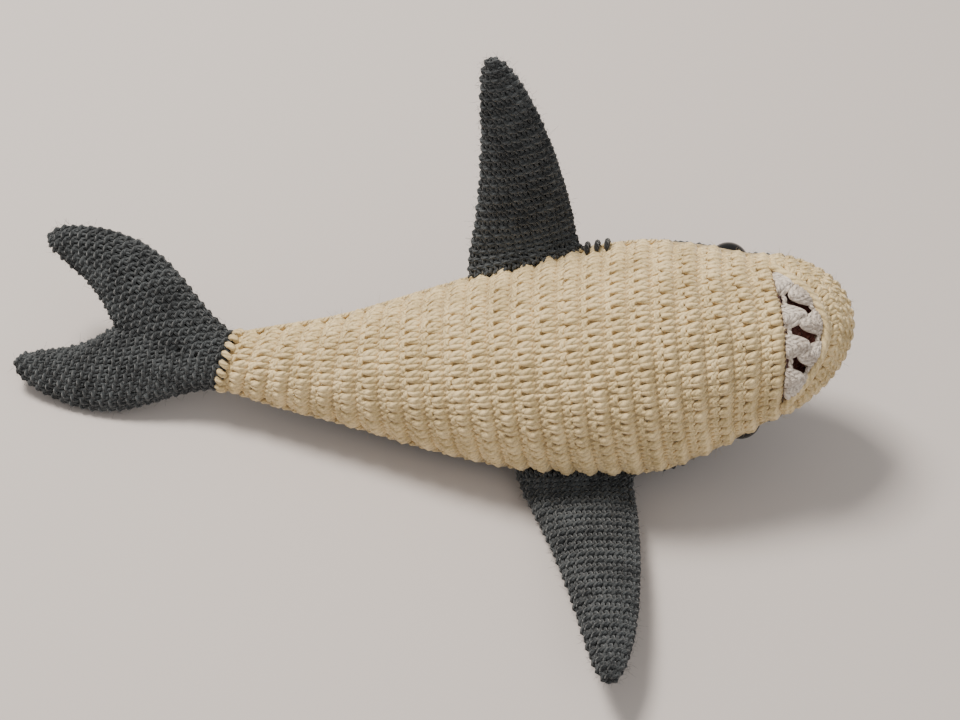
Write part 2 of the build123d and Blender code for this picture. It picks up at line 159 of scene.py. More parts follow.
# Camera and lights: degrees and metres
CAMERA_LENS, CAMERA_DISTANCE, CAMERA_AIM = 73.0, 0.9075, (-0.0283, 0.0087, 0.0401)
CAMERA_AZIMUTH, CAMERA_ELEVATION, CAMERA_ROLL = 1.4, 52.1, 1.15
FLOOR = (0.60, 0.545, 0.515)
AMBIENT = 0.55
LAMPS = [
    ("key", (-0.62, 0.5, 1.6), 0.5, 42.0, (1.0, 0.95, 0.88)),
    ("fill", (1.2, -1.0, 1.2), 1.4, 5.0, (0.92, 0.96, 1.0)),
]

# Each strand of a stitch: points (across in stitches, along in rows, height over the surface in metres)
ARM = [(-0.26, 1.12, -1.8), (-0.27, 0.95, -0.3), (-0.26, 0.7, 0.6), (-0.20, 0.42, 0.8), (-0.11, 0.12, 0.2),
       (0.0, -0.1, -1.6), (0.10, 0.12, 0.0), (0.17, 0.42, 0.6), (0.22, 0.7, 0.5), (0.24, 0.95, -0.3),
       (0.25, 1.12, -1.8)]
VEE = [(-0.22, 1.16, -1.6), (-0.25, 0.95, -0.5), (-0.27, 0.7, 0.1), (-0.27, 0.42, 0.1), (-0.19, 0.12, -0.5),
       (0.0, -0.1, -2.2), (0.17, 0.12, -0.5), (0.27, 0.42, 0.1), (0.30, 0.7, 0.1), (0.32, 0.95, -0.5),
       (0.34, 1.16, -1.6)]
LEGS = [(-0.10, 1.1, -1.8), (-0.20, 0.85, -0.3), (-0.27, 0.5, 0.2), (-0.29, 0.25, -0.2), (-0.28, 0.0, -1.8)]
KNOT = [(-0.27, 0.78, -1.8), (-0.21, 0.70, -0.4), (-0.11, 0.62, 0.4), (0.02, 0.58, 0.6), (0.13, 0.59, 0.4),
        (0.22, 0.65, -0.4), (0.27, 0.76, -1.8)]
BAR = [(-0.60, 0.74, -0.9), (-0.45, 0.80, 0.4), (-0.2, 0.88, 1.2), (0.08, 0.97, 1.3), (0.34, 1.07, 0.6),
       (0.56, 1.16, -1.0)]

# The back's stitches, with fewer points because it has the most of them
BACK_ARM = [ARM[0], *ARM[2:-2], ARM[-1]]
BACK_BAR = BAR[:2] + BAR[3:]


def ease(t):
    t = np.clip(t, 0.0, 1.0)
    return t * t * (3 - 2 * t)


def smooth(table, at):
    """The values of a table's other columns, along a smooth curve through its rows."""
    x, y = table[:, 0], table[:, 1:]
    slope = np.gradient(y, x, axis=0)
    at = np.clip(at, x[0], x[-1])
    i = np.clip(np.searchsorted(x, at) - 1, 0, len(x) - 2)
    h = (x[i + 1] - x[i])[..., None]
    t = (at - x[i])[..., None] / h
    start = y[i] * (1 + 2 * t) * (1 - t) ** 2 + slope[i] * h * t * (1 - t) ** 2
    end = y[i + 1] * t * t * (3 - 2 * t) - slope[i + 1] * h * t * t * (1 - t)
    return start + end


def even_turn(share, depth):
    """The angle round an ellipse of width 1 at an even share of its top half's length."""
    angle = np.linspace(0, math.pi, 400)
    step = np.hypot(np.sin(angle), depth * np.cos(angle))
    length = np.concatenate([[0], np.cumsum((step[1:] + step[:-1]) / 2)])
    whole = np.floor(share)
    return math.pi * whole + np.interp(share - whole, length / length[-1], angle)


def width_table():
    """(station, half width squared) from the tail to the nose."""
    rows = [(x, w * w) for x, w in BODY_STATIONS]
    for part in NOSE_FRACTIONS:
        rows.append((NOSE_CENTRE + NOSE_LENGTH * part, NOSE_HALF_WIDTH**2 * (1 - part**2)))
    return np.array(rows)


def half_width(x):
    return np.sqrt(np.maximum(smooth(WIDTHS, x)[..., 0], 1e-10))


def bend(x):
    return BEND * ((x - BEND_CENTRE) / BEND_REACH) ** 2


def rotation():
    """The turn that rolls and tips the shark."""
    return np.array(Matrix.Rotation(-TIP, 3, "Y") @ Matrix.Rotation(ROLL, 3, "X"))


def tail_axis():
    return np.array([-math.cos(TAIL_SWING), math.sin(TAIL_SWING), 0.0])


def tail_hinge():
    """The tail's hinge in the shark's own frame."""
    end = np.array([TAIL_END, bend(TAIL_END), 0.0])
    return end + tail_axis() * (TAIL_SEAM + ROOT_GAP + TAIL_ROOT)


def place(points):
    """Points of the shark's own frame, in the row frame."""
    return points @ TURN.T + SHIFT


def stack(x, y, z):
    return np.stack(np.broadcast_arrays(x, y, z), -1)


def body_point(x, angle):
    w = half_width(x)
    depth = np.where(np.sin(angle) > 0, BELLY_DEPTH, BACK_DEPTH)
    return stack(x, bend(x) + w * np.cos(angle), depth * w * np.sin(angle))


def tail_slant(x, across):
    """How far the rows lean towards the tail's oblique end."""
    return ease((SLANT_FROM - x) / (SLANT_FROM - TAIL_END)) * math.tan(TAIL_SWING) * across


def belly(a, b):
    """The belly: a runs across it from the right seam to the left, b counts rows from the tail."""
    angle = even_turn(np.clip(a, -SEAM_OVERLAP, 1 + SEAM_OVERLAP), BELLY_DEPTH)
    u = TAIL_END + BODY_ROW * b
    across = half_width(u) * np.cos(angle)
    lip = np.maximum(1 - (across / MOUTH_HALF_WIDTH) ** 2, 0) * (BELLY_LIP - MOUTH_CORNER)
    lip = lip * ease((u - LIP_CURVE_FROM) / (MOUTH_CORNER - LIP_CURVE_FROM))
    return body_point(u + tail_slant(u, across) + lip, angle)


def back(a, b):
    """The back: a runs across it from the right seam to the left, b counts rows from the tail."""
    angle = -even_turn(np.clip(a, -SEAM_OVERLAP, 1 + SEAM_OVERLAP), BACK_DEPTH)
    u = np.interp(b * BODY_ROW, BACK_LENGTH, BACK_STATION)
    return body_point(u + tail_slant(u, half_width(u) * np.cos(angle)), angle)


def nose_point(ball):
    """A point of the unit ball, on the nose."""
    x = NOSE_CENTRE + NOSE_LENGTH * ball[..., 0]
    y = bend(x) + NOSE_HALF_WIDTH * ball[..., 1]
    return stack(x, y, BELLY_DEPTH * NOSE_HALF_WIDTH * ball[..., 2])


def lip_ball(s, middle):
    """A lip's point on the unit ball, s from 1 at the right corner to -1 at the left."""
    x = (MOUTH_CORNER + (middle - MOUTH_CORNER) * (1 - s * s) - NOSE_CENTRE) / NOSE_LENGTH
    y = MOUTH_HALF_WIDTH * s / NOSE_HALF_WIDTH
    return stack(x, y, np.sqrt(np.maximum(1 - x * x - y * y, 0)))


def snout(a, b):
    """The snout: a runs round it from the mouth's right corner to the left, b counts rows from the lip."""
    s = 1 - 2 * a
    corner = math.acos((MOUTH_CORNER - NOSE_CENTRE) / NOSE_LENGTH)
    lip = lip_ball(np.clip(s, -1, 1), SNOUT_LIP)
    seam = stack(np.cos(corner * s), np.sin(corner * s), 0.0)
    turn = np.arccos(np.clip((lip * seam).sum(-1), -1, 1))[..., None]
    t = (b / len(SNOUT_STITCHES))[..., None]
    return nose_point((np.sin((1 - t) * turn) * lip + np.sin(t * turn) * seam) / np.sin(turn))


def mouth(a, b):
    """The mouth's bowl: a runs from its right corner to its left, b from the belly's lip to the snout's."""
    s = np.clip(1 - 2 * a, -1, 1)
    middle = BELLY_LIP + (SNOUT_LIP - BELLY_LIP) * np.clip(b, 0, 1)
    point = nose_point(lip_ball(s, middle))
    bowl = np.sqrt(np.maximum(1 - s * s, 0)) * np.sin(math.pi * np.clip(b, 0.0, 1.0)) ** 0.5
    return point - stack(0.0, 0.0, MOUTH_DEPTH * bowl + LINING_SINK)


def ellipse_length(half, deep):
    """The length round an ellipse with these half axes."""
    return math.pi * (1.5 * (half + deep) - math.sqrt(half * deep))


def round_count(length, pitch, least):
    """How many stitches go into a length."""
    return max(int(round(length / pitch)), least)


def fin_surface(hinge, chord, out, lift, tilt, measures, side):
    """A fin's surface: a runs round it from its nose edge, b counts rows from inside the body to the tip."""
    span, half_chord, half_depth, lean, bow = measures
    s = np.linspace(-half_depth - FIN_SUNK, span, 600)
    angle = tilt * ease((s + half_depth) / (half_depth + TILT_LENGTH))
    way = np.cos(angle)[:, None] * out + np.sin(angle)[:, None] * lift
    step = np.diff(s)[:, None] * (way[1:] + way[:-1]) / 2
    line = np.concatenate([[np.zeros(3)], np.cumsum(step, 0)])
    line += hinge + span * way[-1] - line[-1]
    t = np.clip(s / span, 0, 1)
    round_tip = np.sqrt(1 - t**TIP_ROUNDING)
    flare = np.clip(-s / half_depth, 0, FLARE_REACH)
    half = half_chord * (1 - CHORD_TAPER * t) * round_tip * (1 + CHORD_FLARE * flare) + 1e-5
    deep = half_depth * (1 - DEPTH_TAPER * t) * round_tip * (1 + DEPTH_FLARE * flare) + 1e-5
    shift = lean * t + 4 * bow * t * (1 - t)
    length = np.concatenate([[0], np.cumsum(np.hypot(np.diff(s), np.diff(half)))])
    normal = np.cross(chord, way) * side
    table = np.column_stack([length / FIN_ROW, line, normal, half, deep, shift])

    def surface(a, b):
        v = np.stack([np.interp(b, table[:, 0], table[:, k]) for k in range(1, 10)], -1)
        turn = 2 * even_turn_closed(a, FIN_SECTION)
        along = (v[..., 8] + v[..., 6] * np.cos(turn))[..., None] * chord
        return v[..., 0:3] + along + (v[..., 7] * np.sin(turn))[..., None] * v[..., 3:6]

    rows = int(table[-1, 0])
    around = [ellipse_length(h, d) for h, d in zip(half, deep)]
    counts = [round_count(np.interp(i + 0.5, table[:, 0], around), FIN_STITCH, 5) for i in range(rows + 1)]
    return surface, counts


def even_turn_closed(share, depth):
    """Half the angle round an ellipse at an even share of its whole length."""
    return even_turn((share - np.floor(share)) * 2, depth) / 2


def tail_surface(side):
    """One lobe of the tail: a runs round it from its outer edge, b counts rows from the body's end."""
    inner, outer, deep = TAIL_LOBE[:, 0:2], TAIL_LOBE[:, 2:4], TAIL_LOBE[:, 4]
    middle = (inner + outer) / 2
    place_on = np.concatenate([[0], np.cumsum(np.linalg.norm(np.diff(middle, axis=0), axis=1))]) / FIN_ROW
    rows = np.column_stack([place_on, middle, (outer - inner) / 2, deep])
    back_way = tail_axis()
    across_way = side * np.array([math.sin(TAIL_SWING), math.cos(TAIL_SWING), 0.0])
    start = tail_hinge()

    def surface(a, b):
        v = smooth(rows, b)
        turn = 2 * even_turn_closed(a, TAIL_SECTION)
        flat = v[..., 0:2] + v[..., 2:4] * np.cos(turn)[..., None]
        rise = (v[..., 4] * np.sin(turn))[..., None] * np.array([0.0, 0.0, 1.0])
        return start + flat[..., :1] * back_way + flat[..., 1:] * across_way + rise

    counts = []
    for i in range(int(rows[-1, 0]) + 1):
        v = smooth(rows, np.array(i + 0.5))
        counts.append(round_count(ellipse_length(math.hypot(v[2], v[3]), v[4]), FIN_STITCH, 5))
    return surface, counts


def with_normals(surface, a, b, sign):
    """A surface's points and outward directions, in the row frame."""
    e = 2e-3
    across = surface(a + e, b) - surface(a - e, b)
    along = surface(a, b + 5 * e) - surface(a, b - 5 * e)
    normal = np.cross(across, along) * sign
    normal /= np.maximum(np.linalg.norm(normal, axis=-1, keepdims=True), 1e-12)
    return place(surface(a, b)), normal @ TURN.T


def settle(points):
    """Presses what would sink into the ground flat against it."""
    over = points[..., 2] - GROUND
    points[..., 2] = GROUND + (over + np.sqrt(over**2 + SETTLE_SOFTNESS**2)) / 2
    return points


def tubes(centres, normals, radius, sides=6):
    """One closed tube along each row of points, with each point's place round and along the yarn."""
    n, k, _ = centres.shape
    tangent = np.gradient(centres, axis=1)
    tangent /= np.maximum(np.linalg.norm(tangent, axis=-1, keepdims=True), 1e-12)
    side = np.cross(tangent, normals)
    side /= np.maximum(np.linalg.norm(side, axis=-1, keepdims=True), 1e-12)
    up = np.cross(side, tangent)
    step = np.linalg.norm(np.diff(centres, axis=1), axis=-1)
    run = np.concatenate([np.zeros((n, 1)), np.cumsum(step, 1)], 1)
    around = 2 * math.pi * np.arange(sides) / sides
    taper = np.ones(k)
    taper[[0, -1]] = END_TAPER
    ring = (np.asarray(radius) * taper)[..., None]
    points = centres[:, :, None] + (ring * np.cos(around))[..., None] * up[:, :, None]
    points = points + (ring * np.sin(around))[..., None] * side[:, :, None]
    j = np.arange(sides)
    quad = np.stack([j, (j + 1) % sides, (j + 1) % sides + sides, j + sides], -1)
    tube = (quad[None] + (np.arange(k - 1) * sides)[:, None, None]).reshape(-1, 4)
    half = sides // 2
    caps = []
    for first, order in ((0, -1), ((k - 1) * sides, 1)):
        for m in range(half - 1):
            face = [m, m + 1, sides - 2 - m, sides - 1 - m][::order]
            caps.append([first + c for c in face])
    tube = np.concatenate([tube, np.array(caps).reshape(-1, 4)])
    faces = (tube[None] + (np.arange(n) * k * sides)[:, None, None]).reshape(-1, 4)
    along = run[..., None] / np.mean(radius) + 0 * around
    lay = np.stack([np.cos(around) + 0 * along, np.sin(around) + 0 * along, along], -1)
    return settle(points.reshape(-1, 3)), faces, lay.reshape(-1, 3)


def grid(points, wrap=False):
    """A sheet of quads through a grid of points."""
    rows, columns = points.shape[:2]
    number = np.arange(rows * columns).reshape(rows, columns)
    if wrap:
        number = np.concatenate([number, number[:, :1]], 1)
    corners = [number[:-1, :-1], number[:-1, 1:], number[1:, 1:], number[1:, :-1]]
    return points.reshape(-1, 3), np.stack(corners, -1).reshape(-1, 4), np.zeros((rows * columns, 3))


def core(surface, rows, columns, sign, wrap, depth=CORE_DEPTH):
    """The backing surface under the stitches; the pieces give it the darker shade yarn, painted shade in the
    gaps between stitches.
    """
    a = np.arange(columns) / columns if wrap else np.linspace(-0.01, 1.01, columns)
    b, a = np.meshgrid(np.linspace(rows[0], rows[1], int((rows[1] - rows[0]) * 2) + 2), a, indexing="ij")
    point, normal = with_normals(surface, a, b, sign)
    points, faces, lay = grid(point - normal * depth, wrap)
    return settle(points), faces if sign > 0 else faces[:, ::-1], lay


def strands(
    surface, counts, rows, path, radius, sign, height=BODY_HEIGHT, shift=0.0, keep=None, swell=None
):
    """One strand of each stitch over some rows of a surface."""
    counts = np.array(counts)
    rows = np.array(list(rows))
    row = np.repeat(rows, counts[rows])
    column = np.concatenate([np.arange(counts[r]) for r in rows])
    path = np.array(path)
    jitter = RNG.normal(0, 1, (len(row), 3)) * UNEVEN
    a = (column[:, None] + 0.5 + shift + path[:, 0] + jitter[:, :1]) / counts[row][:, None]
    b = row[:, None] + path[:, 1] + jitter[:, 1:2]
    point, normal = with_normals(surface, a, b, sign)
    lift = (path[:, 2] + jitter[:, 2:]) * height - radius
    if swell is not None:
        lift = lift + swell(b)
    point = point + normal * lift[..., None]
    size = radius * (1 + RNG.normal(0, SIZE_SPREAD, (len(row), 1)))
    if keep is not None:
        kept = keep(point.mean(1))
        point, normal, size = point[kept], normal[kept], size[kept]
    return tubes(point, normal, size * np.ones(path.shape[0]))


def fibres(surface, rows, number, sign, keep=None):
    """Loose ends of fibre that stand off the yarn as a fine halo."""
    a = RNG.uniform(0, 1, (number, 1))
    b = RNG.uniform(rows[0], rows[1], (number, 1))
    point, normal = with_normals(surface, a, b, sign)
    lean = RNG.normal(0, 1, (number, 1, 3))
    bow = RNG.normal(0, 0.9, (number, 1, 3))
    t = np.linspace(0, 1, FIBRE_POINTS)[None, :, None]
    length = RNG.uniform(*FIBRE_LENGTH, (number, 1, 1))
    way = normal * RNG.uniform(0.3, 1.1, (number, 1, 1)) + lean * 0.6
    line = point + normal * FIBRE_ROOT + length * (way * t + bow * t * t)
    if keep is not None:
        kept = keep(line[:, 0])
        line, normal = line[kept], normal[kept]
    radius = FIBRE_RADIUS * np.ones(FIBRE_POINTS)
    return tubes(line, np.repeat(normal, FIBRE_POINTS, 1) + 0.01, radius, sides=4)


def piece(name, parts, materials, body, nodes):
    """A mesh of several parts, each (points and faces, material number), that rides on a CAD body when one
    is named.
    """
    points, faces, lays, kinds, start = [], [], [], [], 0
    for (p, f, lay), kind in parts:
        points.append(p)
        faces.append(f + start)
        lays.append(lay)
        kinds.append(np.full(len(f), kind))
        start += len(p)
    points, faces, kinds = np.concatenate(points), np.concatenate(faces), np.concatenate(kinds)
    mesh = bpy.data.meshes.new(name)
    mesh.vertices.add(len(points))
    mesh.vertices.foreach_set("co", points.astype(np.float32).ravel())
    mesh.loops.add(faces.size)
    mesh.loops.foreach_set("vertex_index", faces.astype(np.int32).ravel())
    mesh.polygons.add(len(faces))
    mesh.polygons.foreach_set("loop_start", np.arange(0, faces.size, 4, dtype=np.int32))
    mesh.polygons.foreach_set("material_index", kinds.astype(np.int32))
    mesh.update(calc_edges=True)
    mesh.attributes.new("lay", "FLOAT_VECTOR", "POINT").data.foreach_set(
        "vector", np.concatenate(lays).astype(np.float32).ravel())
    mesh.shade_smooth()
    for material in materials:
        mesh.materials.append(material)
    obj = bpy.data.objects.new(name, mesh)
    bpy.context.scene.collection.objects.link(obj)
    if body is not None:
        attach(obj, body)
    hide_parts(*nodes)
    return obj


def calculate(nodes, links, operation, *values):
    """A maths node on numbers or other nodes' outputs."""
    node = nodes.new("ShaderNodeMath")
    node.operation = operation
    for socket, value in zip(node.inputs, values):
        if isinstance(value, float):
            socket.default_value = value
        else:
            links.new(value, socket)
    return node.outputs["Value"]


def yarn(name, dark, light):
    """Matt plied yarn, a little uneven in colour, with painted shade in the grooves between its plies, and
    fine fibres.

    The lay attribute holds a point's place round the yarn (X and Y) and along it (Z, in radii).
    """
    material = bpy.data.materials.new(name)
    material.use_nodes = True
    nodes, links = material.node_tree.nodes, material.node_tree.links
    shader = nodes["Principled BSDF"]
    where = nodes.new("ShaderNodeTexCoord")
    patch = nodes.new("ShaderNodeTexNoise")
    patch.inputs["Scale"].default_value = 90.0
    patch.inputs["Detail"].default_value = 3.0
    ramp = nodes.new("ShaderNodeValToRGB")
    ramp.color_ramp.elements[0].position = 0.30
    ramp.color_ramp.elements[0].color = (*dark, 1)
    ramp.color_ramp.elements[1].position = 0.70
    ramp.color_ramp.elements[1].color = (*light, 1)
    fine = nodes.new("ShaderNodeTexNoise")
    fine.inputs["Scale"].default_value = 1100.0
    fine.inputs["Detail"].default_value = 2.0
    bump = nodes.new("ShaderNodeBump")
    bump.inputs["Strength"].default_value = 0.9
    bump.inputs["Distance"].default_value = 0.0005
    lay = nodes.new("ShaderNodeAttribute")
    lay.attribute_name = "lay"
    split = nodes.new("ShaderNodeSeparateXYZ")
    links.new(lay.outputs["Vector"], split.inputs["Vector"])
    around = calculate(nodes, links, "ARCTAN2", split.outputs["Y"], split.outputs["X"])
    turn = calculate(nodes, links, "MULTIPLY", around, 1.5)
    phase = calculate(nodes, links, "MULTIPLY_ADD", split.outputs["Z"], 1.35, turn)
    plies = calculate(nodes, links, "ABSOLUTE", calculate(nodes, links, "SINE", phase))
    height = calculate(nodes, links, "MULTIPLY_ADD", fine.outputs["Fac"], 0.6, plies)
    links.new(where.outputs["Object"], patch.inputs["Vector"])
    links.new(where.outputs["Object"], fine.inputs["Vector"])
    # The ply profile darkens the colour in the grooves between plies: painted shade, added to the random
    # patches and fine mottling.
    strand = calculate(nodes, links, "MULTIPLY_ADD", plies, 0.22, patch.outputs["Fac"])
    mottle_and_ply_shade = calculate(nodes, links, "MULTIPLY_ADD", fine.outputs["Fac"], 0.9, strand)
    links.new(calculate(nodes, links, "SUBTRACT", mottle_and_ply_shade, 0.60), ramp.inputs["Fac"])
    links.new(ramp.outputs["Color"], shader.inputs["Base Color"])
    links.new(height, bump.inputs["Height"])
    links.new(bump.outputs["Normal"], shader.inputs["Normal"])
    shader.inputs["Roughness"].default_value = 0.88
    shader.inputs["Specular IOR Level"].default_value = 0.25
    shader.inputs["Sheen Weight"].default_value = 0.25
    shader.inputs["Sheen Roughness"].default_value = 0.5
    return material


def plain(name, colour, roughness, specular=0.5):
    material = bpy.data.materials.new(name)
    material.use_nodes = True
    shader = material.node_tree.nodes["Principled BSDF"]
    shader.inputs["Base Color"].default_value = (*colour, 1)
    shader.inputs["Roughness"].default_value = roughness
    shader.inputs["Specular IOR Level"].default_value = specular
    return material


def ridge(b):
    """How far each pair of rows swells into a ridge, with a groove between pairs."""
    return RIDGE_HEIGHT * np.cos(math.pi * (b - RIDGE_START))


def clear_of_eyes_and_seam(points):
    """Which stitches of the back lie neither under an eye nor over a side seam."""
    clear = ((points - SHIFT) @ TURN)[:, 2] < -SEAM_CLEARANCE
    for eye in EYES:
        clear &= np.linalg.norm(points - eye, axis=-1) > EYE_CLEARANCE
    return clear


def row_counts(surface, rows):
    """How many stitches each row of a body panel has."""
    counts = []
    for i in range(rows):
        edge = place(surface(np.linspace(0, 1, 40), np.full(40, i + 0.5)))
        length = np.linalg.norm(np.diff(edge, axis=0), axis=1).sum()
        counts.append(round_count(length, BODY_STITCH, 3))
    return counts


def build_belly(mat):
    rows = int(round((MOUTH_CORNER - TAIL_END) / BODY_ROW))
    counts = row_counts(belly, rows)
    ins, outs = range(0, rows, 2), range(1, rows, 2)
    parts = [(core(belly, (0, rows), 90, 1, False), 1)]
    parts.append((strands(belly, counts, outs, ARM, BODY_YARN * 1.2, 1, swell=ridge), 0))
    parts.append((strands(belly, counts, ins, KNOT, BODY_YARN * 0.9, 1, shift=0.5, swell=ridge), 0))
    parts.append((strands(belly, counts, ins, LEGS, BODY_YARN, 1, swell=ridge), 0))
    mirrored = [(-x, y, z) for x, y, z in LEGS]
    parts.append((strands(belly, counts, ins, mirrored, BODY_YARN, 1, swell=ridge), 0))
    parts.append((fibres(belly, (0, rows), FIBRES["belly"], 1), 0))
    piece("belly_fabric", parts, mat["cream"], "trunk", ["belly_panel"])


def build_snout(mat):
    rows = len(SNOUT_STITCHES)
    parts = [(core(snout, (0, rows), 60, 1, False), 1)]
    parts.append((strands(snout, SNOUT_STITCHES, range(rows), ARM, BODY_YARN * 1.15, 1), 0))
    parts.append((strands(snout, SNOUT_STITCHES, range(1, rows), BAR, BODY_YARN * 0.9, 1), 0))
    parts.append((lip_roll(), 0))
    parts.append((fibres(snout, (0, rows), FIBRES["snout"], 1), 0))
    piece("snout_fabric", parts, mat["cream"], "trunk", ["snout_panel"])


def lip_roll():
    """The smooth rolled edge of the snout along the mouth."""
    s = np.linspace(1.0, -1.0, 60)
    line = place(nose_point(lip_ball(s, SNOUT_LIP + LIP_ROLL_AHEAD)))[None]
    normal = np.repeat(np.array([[[0.25, 0.0, 1.0]]]) @ TURN.T, len(s), 1)
    two = np.concatenate([line, line + normal * -0.0022 + np.array([0.0009, 0, 0])])
    return tubes(two, np.repeat(normal, 2, 0), LIP_ROLL * np.ones(len(s)), sides=10)


def build_back(mat):
    rows = int(BACK_LENGTH[-1] / BODY_ROW)
    counts = row_counts(back, rows)
    keep = clear_of_eyes_and_seam
    parts = [(core(back, (0, BACK_LENGTH[-1] / BODY_ROW), 90, -1, False), 1)]
    parts.append((strands(back, counts, range(rows), BACK_ARM, BODY_YARN, -1, keep=keep), 0))
    parts.append((strands(back, counts, range(rows), BACK_BAR, BODY_YARN * 0.85, -1, keep=keep), 0))
    parts.append((fibres(back, (0, rows), FIBRES["back"], -1, keep), 0))
    piece("back_fabric", parts, mat["grey"], "trunk", ["back_panel"])


def fin_frames(name):
    """A pectoral fin's hinge, chord, way out of the body and tilt, in the shark's own frame."""
    x, yaw, tilt, _, _, half_depth, _, _ = PECTORALS[name]
    side = 1 if name == "right" else -1
    yaw = math.radians(yaw)
    chord = np.array([math.cos(yaw), side * math.sin(yaw), 0.0])
    out = np.array([-math.sin(yaw), side * math.cos(yaw), 0.0])
    root = np.array([x, bend(x) + side * half_width(np.array(x)), 0.0])
    return root + out * (half_depth + ROOT_GAP), chord, out, math.radians(tilt)


def fin_parts(surface, counts, sign, number):
    """The stitches of a fin: its backing, its rows and its halo."""
    rows = len(counts) - 1
    parts = [(core(surface, (0, rows + 0.95), 48, sign, True, FIN_CORE_DEPTH), 1)]
    parts.append((strands(surface, counts, range(1, rows), VEE, FIN_YARN, sign, height=FIN_HEIGHT), 0))
    parts.append((strands(surface, counts, range(1, rows), BAR, FIN_YARN, sign, height=FIN_HEIGHT), 0))
    parts.append((fibres(surface, (2, rows), number, sign), 0))
    return parts


def bend_fin(obj, hinge, out, lift, tilt):
    """Bakes a fin's placement into its mesh."""
    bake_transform(obj)


def build_pectoral(name, mat):
    side = 1 if name == "right" else -1
    hinge, chord, out, tilt = fin_frames(name)
    lift = np.array([0.0, 0.0, 1.0])
    surface, counts = fin_surface(hinge, chord, out, lift, tilt, PECTORALS[name][3:], side)
    parts = fin_parts(surface, counts, -side, FIBRES["pectoral"])
    node = name + "_pectoral_fin"
    obj = piece(name + "_pectoral_fabric", parts, mat["grey"], None, [node])
    bend_fin(obj, hinge, out, lift, tilt)


def dorsal_frame():
    """The dorsal fin's hinge, chord, ways out and up, and lean, in the shark's own frame."""
    x, lean, reach = DORSAL[0], math.radians(DORSAL[1]), 0.02
    behind, here, ahead = BACK_DEPTH * half_width(np.array([x - reach, x, x + reach]))
    slope = (ahead - behind) / (2 * reach)
    chord = np.array([1, 0, -slope]) / math.hypot(1, slope)
    out = np.array([-slope, 0, -1]) / math.hypot(1, slope)
    hinge = np.array([x, bend(x), -here]) + out * (DORSAL[4] + ROOT_GAP)
    return hinge, chord, out, np.cross(chord, out), lean


def build_dorsal(mat):
    hinge, chord, out, lift, lean = dorsal_frame()
    surface, counts = fin_surface(hinge, chord, out, lift, lean, DORSAL[2:], 1)
    parts = fin_parts(surface, counts, -1, FIBRES["dorsal"])
    obj = piece("dorsal_fabric", parts, mat["grey"], None, ["dorsal_fin"])
    bend_fin(obj, hinge, out, lift, lean)


def own_half(start, across):
    """Leaves out the stitches of a tail lobe that lie inside the other lobe."""

    def keep(points):
        return (points - start) @ across > -LOBE_OVERLAP

    return keep


def build_tail(mat):
    parts = []
    start, axis = place(tail_hinge()), tail_axis() @ TURN.T
    across = np.array([math.sin(TAIL_SWING), math.cos(TAIL_SWING), 0.0]) @ TURN.T
    for side in (1, -1):
        surface, counts = tail_surface(side)
        rows = range(len(counts))
        keep = own_half(start, across * side)
        parts.append((core(surface, (0, len(counts) - 0.1), 48, -side, True, FIN_CORE_DEPTH), 1))
        for path in (VEE, BAR):
            stitches = strands(surface, counts, rows, path, FIN_YARN, -side, FIN_HEIGHT, keep=keep)
            parts.append((stitches, 0))
        halo = fibres(surface, (0, len(counts) - 1), FIBRES["tail lobe"], -side, keep)
        parts.append((halo, 0))
    obj = piece("tail_fabric", parts, mat["grey"], None, ["tail_fin"])
    before, after = start - axis * TAIL_BEND_BEFORE, start + axis * TAIL_BEND_AFTER
    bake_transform(obj)
    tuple(before)
    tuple(after)


def along(values, length, at):
    """The values at some distances along a line."""
    return np.stack([np.interp(at, length, values[:, k]) for k in range(3)], -1)


def whip(line, normal, sewing, hand=1):
    """Slanted stitches over a seam, whose line and normals are in the row frame; hand -1 mirrors them."""
    pitch, reach, radius, slant, height = sewing
    length = np.concatenate([[0], np.cumsum(np.linalg.norm(np.diff(line, axis=0), axis=1))])
    number = max(int(length[-1] / pitch), 1)
    at = (np.arange(number) + 0.5) * length[-1] / number
    middle, up = along(line, length, at), along(normal, length, at)
    way = along(line, length, at + 0.0005) - along(line, length, at - 0.0005)
    way /= np.maximum(np.linalg.norm(way, axis=-1, keepdims=True), 1e-9)
    aside = np.cross(up, way) + slant * hand * way
    t = np.linspace(-1, 1, 7)
    rise = height * (1 - 1.9 * np.abs(t) ** 2.6)
    jitter = 1 + RNG.normal(0, 0.1, (number, 1, 1))
    centre = middle[:, None] + jitter * reach * t[None, :, None] * aside[:, None]
    centre = centre + rise[None, :, None] * up[:, None]
    return tubes(centre, np.repeat(up[:, None], 7, 1), radius * np.ones(7))


def seam_line(side, count=160):
    """The side seam's points and outward directions, from the tail to the nose."""
    x = TAIL_END + (NOSE_TIP - TAIL_END) * np.sin(np.linspace(0, math.pi / 2, count))
    x = np.minimum(x + tail_slant(x, side * half_width(x)), NOSE_TIP)
    w = half_width(x)
    points = stack(x, bend(x) + side * w, 0.0)
    slope = np.gradient(w, x + np.arange(count) * 1e-9)
    normal = stack(-slope, side * np.ones(count), 0.0)
    normal /= np.linalg.norm(normal, axis=-1, keepdims=True)
    return place(points), normal @ TURN.T


def build_side_seams(mat):
    for name, side in (("right", 1), ("left", -1)):
        line, normal = seam_line(side)
        station = ((line - SHIFT) @ TURN)[:, 0]
        flank, tip = station < FLANK_SEAM_TO, station > NOSE_SEAM_FROM
        stitches = whip(line[flank], normal[flank], FLANK_SEWING, side)
        rim = whip(line[tip], normal[tip], NOSE_SEWING, side)
        sunk = line - normal * SEAM_CORD_SINK
        cord = tubes(sunk[None], normal[None], SEAM_CORD * np.ones(len(line)))
        parts = [(stitches, 0), (rim, 0), (cord, 1)]
        piece(name + "_side_stitches", parts, mat["cream"], "trunk", [name + "_side_seam"])


